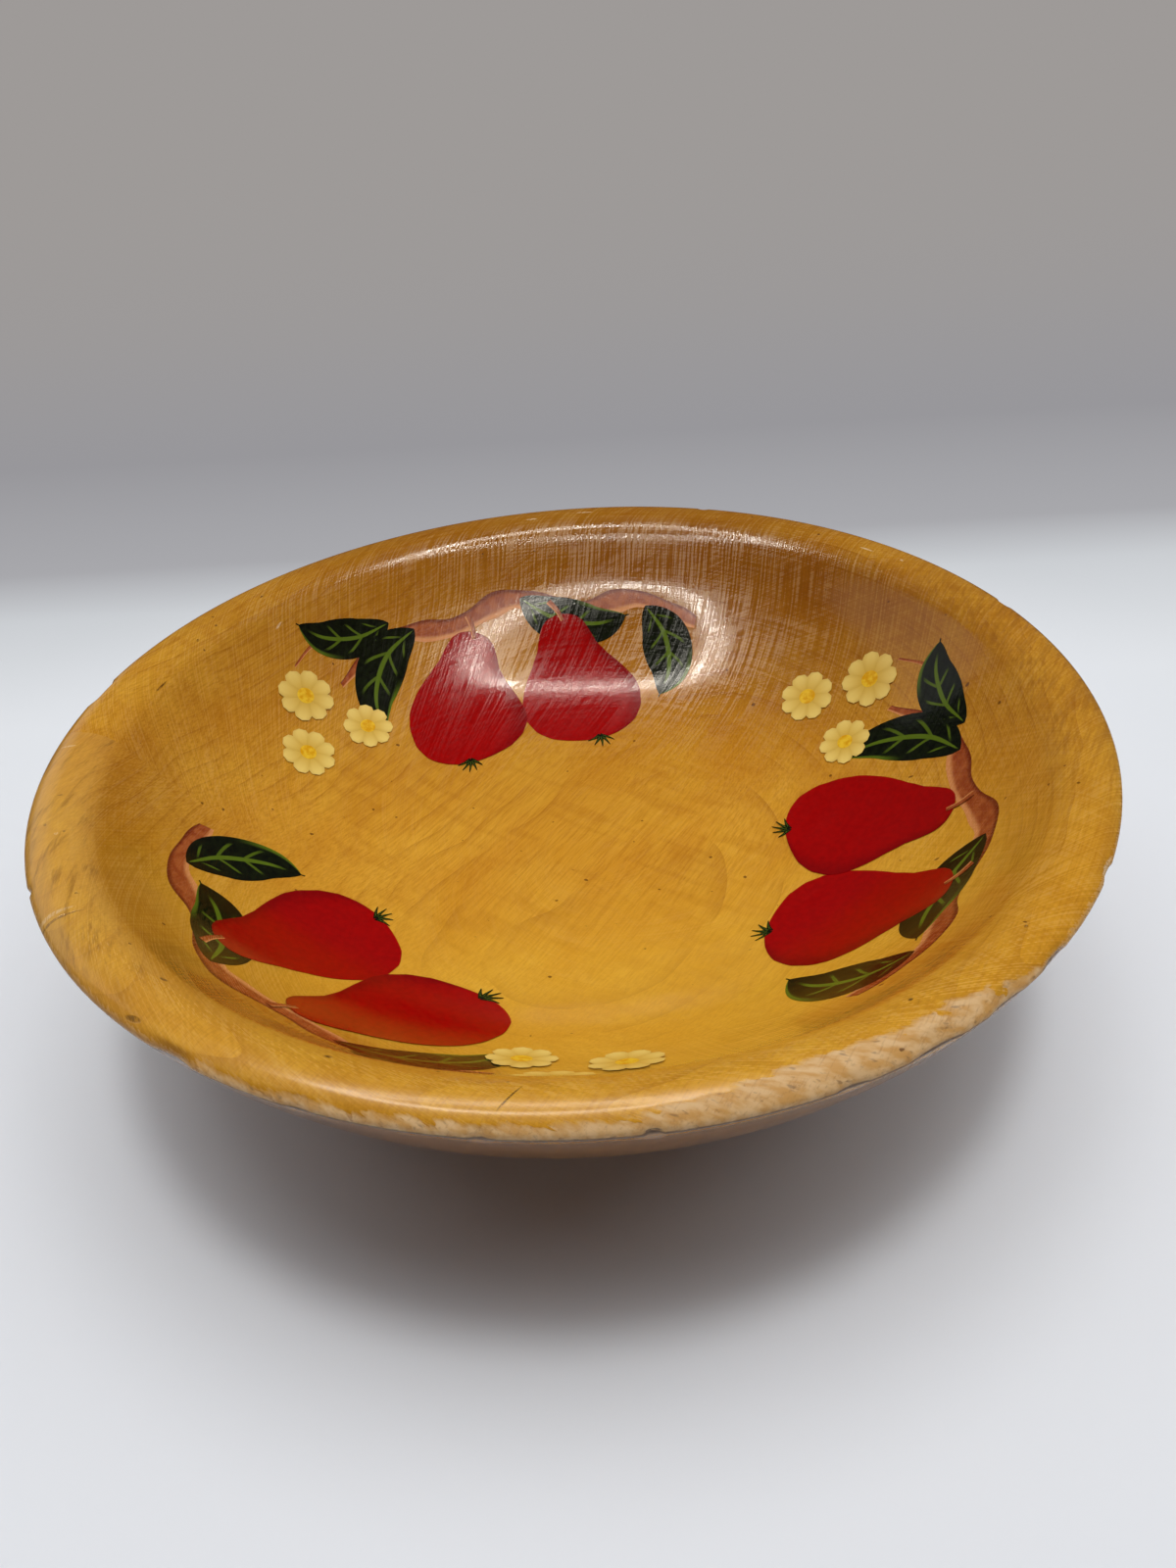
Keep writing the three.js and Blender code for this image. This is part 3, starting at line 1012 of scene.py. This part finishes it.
# %% [markdown]
# ## Feet and pins
#
# The feet are small buns turned from the same wood, one under each third of the base. Their
# outline comes from the solid model as the bowl's does, with the blind pin hole in the top. The
# grain of a foot runs up through it, as turned feet are made from a square stick. The lacquer is
# rubbed off round the sole.

# %% Feet
FOOT_SIDES = 96
FOOT_SPACING = 1.2

foot_wood = Finish("foot_maple_lacquered")
foot_z = foot_wood.parts(foot_wood.place())[2]
foot_rings = foot_wood.noise(foot_wood.place((1000, 1000, 60)), 4.0, detail=3)
foot_fibre = foot_wood.noise(foot_wood.place((1400, 1400, 40)), 1.0, detail=3, roughness=0.6)
foot_colour = foot_wood.mix(foot_rings.step(0.3, 0.7), tone(196, 128, 26), tone(214, 156, 50))
foot_colour = foot_colour.tint(foot_fibre.step(0.4, 0.75, 0.0, 0.5), 140, 76, 10)
rub = foot_z.step(0.2, 1.6, 0.8, 0.0)
foot_colour = foot_colour.tint(rub, 150, 112, 66)
foot_height = foot_fibre * 0.01 + foot_wood.noise(foot_wood.place((200, 200, 2600)), 1.0) * 0.008
foot_coat = {"Coat Weight": 0.4 - rub * 0.4, "Coat Roughness": 0.4}
foot_maple = foot_wood.surface(foot_colour, 0.3 + rub * 0.35, foot_height, foot_coat)

for foot in FEET:
    centre_x, centre_y = pins[foot]
    curve = smooth(meridian("foot_" + foot, centre_x, centre_y), FOOT_SPACING)
    foot_points, foot_faces = [], []
    for radius, height in curve:
        for k in range(FOOT_SIDES):
            angle = 2 * math.pi * k / FOOT_SIDES
            x, y = centre_x + radius * math.cos(angle), centre_y + radius * math.sin(angle)
            foot_points.append((x, y, height))
    for k in range(len(curve) - 1):
        foot_faces += ring_faces(k * FOOT_SIDES, (k + 1) * FOOT_SIDES, FOOT_SIDES)
    foot_faces.append(tuple(range(FOOT_SIDES)))
    foot_faces.append(tuple(range((len(curve) - 1) * FOOT_SIDES, len(curve) * FOOT_SIDES)))
    made = add_piece("foot_%s_turned" % foot, foot_points, foot_faces, foot_maple)
    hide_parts("foot_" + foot)
print("foot outline", curve[0].round(2), "to", curve[-1].round(2), len(curve), "points")

# %% [markdown]
# The pins are plain birch dowels, hidden inside. They keep the solid model's own shape and get
# bare, pale wood with the grain along the pin.

# %% Pins
birch = Finish("dowel_birch_bare")
birch_fibre = birch.noise(birch.place((1600, 1600, 60)), 1.0, detail=3, roughness=0.6)
birch_colour = birch.mix(birch_fibre.step(0.3, 0.7), tone(222, 196, 152), tone(186, 148, 98))
dowel_birch = birch.surface(birch_colour, 0.62, birch_fibre * 0.03, {})
for foot in FEET:
    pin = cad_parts["dowel_" + foot]
    pin.data.materials.clear()
    pin.data.materials.append(dowel_birch)
print("pins finished", len(FEET))

# %% [markdown]
# ## The painted border
#
# Fruit bowls of this kind are often painted inside with fruit, leaves and flowers in a few bold
# strokes of enamel. Each stroke has a line that the brush follows and a breadth that swells and
# thins. So one function makes a stroke: it lays a thin film of paint on the wall, a few
# hundredths of a millimetre thick, along a line and as broad as asked. The line is given in mm
# on the wall, sideways and down from a chosen place. Films that cross lie on top of each other:
# LOWEST is the gap under the first layer, and LAYER is how much higher each next one lies.

# %% A brush stroke
FILM = 0.035
LAYER = 0.05
LOWEST = 0.015
THINNEST = 0.12
LEAST_RADIUS = 20


def through(points, count):
    """A smooth line of count points through the given ones."""
    p = np.array(points, float)
    p = np.vstack([2 * p[0] - p[1], p, 2 * p[-1] - p[-2]])
    line = []
    for t in np.linspace(0, len(points) - 1, count):
        k = min(int(t), len(points) - 2)
        f = t - k
        a, b, c, d = p[k : k + 4]
        line.append(
            0.5 * (2 * b + (c - a) * f + (2 * a - 5 * b + 4 * c - d) * f**2 + (3 * b - a - 3 * c + d) * f**3)
        )
    return np.array(line)


def rotate(line, turn):
    """The line turned about its start."""
    c, s = math.cos(turn), math.sin(turn)
    return np.array([(x * c - y * s, x * s + y * c) for x, y in line])


class Strokes:
    """All the strokes of one colour, which become one piece."""

    def __init__(self):
        self.points, self.faces, self.marks, self.reaches = [], [], [], []
        self.count = 0

    def add(self, azimuth, reach, line, half_breadth, layer, turn=0.0, across=8):
        """One stroke. The line is in mm from the place at azimuth and reach, turned by turn."""
        n, w = len(line), across + 1
        line = rotate(line, turn)
        way = np.gradient(line, axis=0)
        way /= np.hypot(way[:, 0], way[:, 1])[:, None]
        side = np.stack([-way[:, 1], way[:, 0]], axis=1)
        share = np.linspace(0, 1, n)
        breadth = np.maximum([half_breadth(t) for t in share], THINNEST)
        rows = np.linspace(-1, 1, w)
        flat_points = line[:, None, :] + side[:, None, :] * (breadth[:, None] * rows)[:, :, None]
        down = (reach + flat_points[:, :, 1]).ravel()
        radius = np.maximum(section_at(down)[0], LEAST_RADIUS)
        angle = azimuth + flat_points[:, :, 0].ravel() / radius
        base, level = len(self.points), n * w
        low = LAYER * layer + LOWEST
        for lift in (low, low + FILM):
            self.points += on_surface(angle, down, lift).tolist()
            self.reaches += down.tolist()
        self.marks += 2 * [(0.02 + 0.96 * t, row) for t in share for row in rows]
        rim = [k * w for k in range(n)] + [(n - 1) * w + m for m in range(1, w)]
        rim += [k * w + across for k in range(n - 2, -1, -1)] + list(range(across - 1, 0, -1))
        for k in range(n - 1):
            for m in range(across):
                a = base + k * w + m
                self.faces.append((a, a + 1, a + w + 1, a + w))
                self.faces.append((a + level, a + level + w, a + level + w + 1, a + level + 1))
        for k, here in enumerate(rim):
            after = rim[(k + 1) % len(rim)]
            self.faces.append((base + here, base + after, base + level + after, base + level + here))
        self.count += 1

    def piece(self, name, material):
        """Makes the piece. A UV map keeps the share along and across each stroke."""
        made = add_piece(name, self.points, self.faces, material)
        layer = made.data.uv_layers.new(name="stroke")
        where = np.zeros(len(made.data.loops), np.int32)
        made.data.loops.foreach_get("vertex_index", where)
        layer.data.foreach_set("uv", np.array(self.marks, np.float32)[where].ravel())
        keep_reach(made, self.reaches)
        print(name, self.count, "strokes,", len(self.faces), "faces")
        return made


# %% [markdown]
# The border is three sprays, a third of the way round from each other. In each a brown twig runs
# along the wall, two red pears hang from it towards the floor, dark leaves grow on both sides,
# and a bunch of cream daisies fills the space before the next spray. Each motif is a function.

# %% A leaf, a pear and a daisy
PEAR_LENGTH = 62.0
PEAR_STEPS = 44
PEAR_LEAN = 2.2
PEAR = [
    # how far along from the bottom, from 0 to 1, and half the breadth there in mm
    (0, 0),
    (0.03, 10),
    (0.10, 18),
    (0.2, 23),
    (0.32, 25.2),
    (0.42, 24.8),
    (0.54, 21.4),
    (0.66, 16.4),
    (0.76, 12.8),
    (0.86, 10.8),
    (0.93, 9.0),
    (0.975, 6.2),
    (1, 0),
]
PEAR_STEM = [(0, -3), (1.0, -8), (3.4, -13)]
SEPAL = [(0.0, 0.0), (0.0, 3.0), (0.6, 6.0)]
SEPAL_TURNS = (-64, -32, 0, 32, 64)
PETAL = [(0, 1.0), (0.35, 2.0), (0.72, 2.75), (0.92, 2.1), (1, 0)]
PETALS = 8
HEART_STEPS = 12
HEART_SHARE = 0.30
LEAF_LAYER, DAISY_LAYER = 1, 6

leaves, twigs, pears, petals, hearts = Strokes(), Strokes(), Strokes(), Strokes(), Strokes()


def round_ends(stops):
    """A half breadth with rounded ends, through (share, half breadth) stops."""
    share, size = np.array(stops, float).T
    return lambda t: math.sqrt(max(np.interp(t, share, size**2), 0))


def from_list(sizes):
    """A half breadth with one value for each point of the line."""
    return lambda t: np.interp(t, np.linspace(0, 1, len(sizes)), sizes)


def even_ends(count):
    """Shares that are close together at both ends."""
    return (1 - np.cos(np.linspace(0, math.pi, count))) / 2


def paint_leaf(azimuth, reach, turn, length, fullness, curl):
    """A leaf that grows from the place and curls to one side."""

    def half_breadth(t):
        return fullness * math.sin(math.pi * min(t * 1.04, 1)) ** 0.75 * (1.12 - 0.3 * t) + 0.25

    line = [(0, 0), (length * 0.35, curl * 0.9), (length * 0.72, curl * 0.5), (length, -curl)]
    leaves.add(azimuth, reach, through(line, 30), half_breadth, LEAF_LAYER, turn)


def paint_pear(azimuth, reach, turn, layer):
    """A pear with a stem at its thin end and five sepals at its bottom."""
    outline = round_ends(PEAR)
    steps = even_ends(PEAR_STEPS)
    line = np.stack([PEAR_LEAN * np.sin(steps * math.pi), PEAR_LENGTH * (1 - steps) - 6], axis=1)
    pears.add(azimuth, reach, line, from_list([outline(t) for t in steps]), layer, turn, 14)
    twigs.add(azimuth, reach, through(PEAR_STEM, 10), lambda t: 0.8 + 0.5 * t, layer + 1, turn, 3)
    bottom = rotate([(0, PEAR_LENGTH - 7.5)], turn)
    for degrees in SEPAL_TURNS:
        line = through(rotate(SEPAL, turn + math.radians(degrees)) + bottom, 8)
        leaves.add(azimuth, reach, line, lambda t: 0.9 - 0.75 * t, layer + 1, 0.0, 2)


def paint_daisy(azimuth, reach, size, turn):
    """Eight petals, every other one on top, and a round heart."""
    petal = round_ends(PETAL)
    line = through([(1.2, 0), (size * 0.55, 0.2), (size, 0)], 12)
    for k in range(PETALS):
        layer, way = DAISY_LAYER + 0.5 * (k % 2), turn + k * 2 * math.pi / PETALS
        petals.add(azimuth, reach, line, lambda t: petal(t) * size / 9, layer, way, 4)
    radius = HEART_SHARE * size
    across = 2 * even_ends(HEART_STEPS) - 1
    line = np.stack([across * radius, np.zeros(HEART_STEPS)], axis=1)
    disc = from_list(radius * np.sqrt(np.maximum(1 - across**2, 0)))
    hearts.add(azimuth, reach, line, disc, DAISY_LAYER + 1.2, 0.0, 6)


print("pear %.0f mm long and %.1f mm across" % (PEAR_LENGTH, 2 * max(size for _, size in PEAR)))

# %% [markdown]
# Tables place the motifs in a spray. The turn of a daisy needs no plan, so its angle in the spray
# is used again as radians, and no two daisies of a spray stand alike.

# %% Paint the sprays
SPRAYS = (99, 219, 339)
TWIG_REACH = 48
TWIG = [(-74, 10), (-50, 2), (-22, 7), (4, -1), (30, 6), (58, 2), (84, 12)]
SIDE_TWIG = [(56, 3), (70, -6), (92, -8), (104, -4)]
PEAR_PLACES = [
    # degrees from the spray's middle, mm from the edge, turn in degrees, layer
    (-8, 62, 12, 2),
    (11, 64, -20, 4),
]
LEAF_PLACES = [
    # degrees from the spray's middle, mm from the edge, turn in degrees, then in mm: length,
    # half the breadth, and curl
    (0, 47, 160, 46, 10.5, -6),
    (-24, 53, 112, 42, 10.5, 5),
    (21, 50, 42, 48, 10.5, -6),
    (25, 44, -14, 40, 8.5, 5),
]
DAISY_PLACES = [
    # degrees from the spray's middle, mm from the edge, length of a petal in mm
    (47, 56, 11.5),
    (56, 74, 10.8),
    (41, 80, 10.0),
]


def knotty(t):
    """Half the breadth of the main twig."""
    swell = 1.3 + 3.6 * math.sin(math.pi * min(0.14 + t * 0.8, 1))
    return swell + 0.6 * math.sin(t * 37) + 0.3 * math.sin(t * 61)


for middle in SPRAYS:
    twigs.add(math.radians(middle), TWIG_REACH, through(TWIG, 90), knotty, 0, 0.0, 6)
    twigs.add(math.radians(middle), TWIG_REACH, through(SIDE_TWIG, 30), lambda t: 1.5 - t, 0, 0.0, 4)
    for side, down, turn, layer in PEAR_PLACES:
        paint_pear(math.radians(middle + side), down, math.radians(turn), layer)
    for side, down, turn, *shape in LEAF_PLACES:
        paint_leaf(math.radians(middle + side), down, math.radians(turn), *shape)
    for side, down, size in DAISY_PLACES:
        paint_daisy(math.radians(middle + side), down, size, side)
print("sprays", len(SPRAYS))

# %% [markdown]
# The enamel has its own depth. Each stroke's UV map says how far along it a point is, and how far
# across from -1 to 1, so light and dark touches can follow the stroke. The lacquer over the paint
# has the hatching of the lacquer over the wood.

# %% Enamel
def enamel(name):
    """A finish, the place along and across a stroke, and the grain of the paint."""
    paint = Finish(name)
    along, across = paint.parts(paint.node("ShaderNodeUVMap", {"uv_map": "stroke"}))[:2]
    grain = paint.noise(paint.place(), 2.0, detail=3)
    return paint, along, across, grain


def enamel_end(paint, colour, grain, roughness=0.07):
    """The last nodes of a paint under hatched lacquer."""
    hatch = hatching(paint, bowl_places(paint)[2])
    roughness = roughness + hatch.step(0.44, 0.57, 0.0, 0.14)
    return paint.surface(colour, roughness, hatch * HATCH_DEPTH + grain * 0.02, {"IOR": 1.36})


# %% [markdown]
# The pears are brighter where the paint is full, and darker along one side and near the stem. The
# leaves are near black, with a few quick lime strokes for the rib, the veins and one edge.

# %% Red and green paint
paint, along, across, grain = enamel("paint_red")
dark_side = abs(across).step(0.55, 1.0) * 0.5 * across.fade(-1.0, -0.2)
red = paint.mix(grain.step(0.3, 0.7), tone(146, 1, 1), tone(160, 2, 1))
red = red.tint(dark_side, 96, 0, 4)
red = red.tint(along.step(0.80, 1.0, 0.0, 0.45), 110, 4, 4)
pears.piece("painted_pears", enamel_end(paint, red, grain))

paint, along, across, grain = enamel("paint_leaf_green")
rib = abs(across).fade(0.07, 0.12) * along.step(0.02, 0.08) * along.fade(0.7, 0.86)
vein = ((along - abs(across) * 0.20) * 5.0).fraction().near(0.5, 0.05, 0.11)
vein = vein * abs(across).fade(0.55, 0.75)
vein = vein * along.step(0.12, 0.2) * along.fade(0.55, 0.7)
lip = across.step(0.74, 0.92) * along.step(0.45, 0.7)
green = paint.mix(grain.step(0.3, 0.7), tone(10, 12, 4), tone(20, 26, 8))
green = green.tint(strongest(rib * 0.8, vein * 0.65, lip * 0.75), 96, 120, 26)
leaves.piece("painted_leaves", enamel_end(paint, green, grain))

# %% [markdown]
# The twigs are streaked, with a light and a dark side. The petals are a warm cream, deeper near
# the heart and along their edges.

# %% Brown, cream and yellow paint
paint, along, across, grain = enamel("paint_twig_brown")
streak = paint.noise(paint.place((900, 900, 900)), 3.0, detail=3)
brown = paint.mix(streak.step(0.35, 0.65), tone(146, 66, 28), tone(168, 90, 44))
brown = brown.tint(across.step(0.35, 0.8), 212, 142, 84)
brown = brown.tint(across.step(-0.9, -0.5, 0.7, 0.0), 92, 24, 8)
twigs.piece("painted_twigs", enamel_end(paint, brown, grain, 0.16))

paint, along, across, grain = enamel("paint_cream")
cream = paint.mix(along.step(0.1, 0.9), tone(216, 176, 74), tone(236, 206, 112))
cream = cream.tint(abs(across).step(0.3, 1.0, 0.0, 0.35), 204, 162, 66)
petals.piece("painted_petals", enamel_end(paint, cream, grain))

paint, along, across, grain = enamel("paint_yellow")
yellow = paint.mix(grain.step(0.35, 0.65), tone(222, 160, 20), tone(238, 196, 48))
hearts.piece("painted_hearts", enamel_end(paint, yellow, grain))
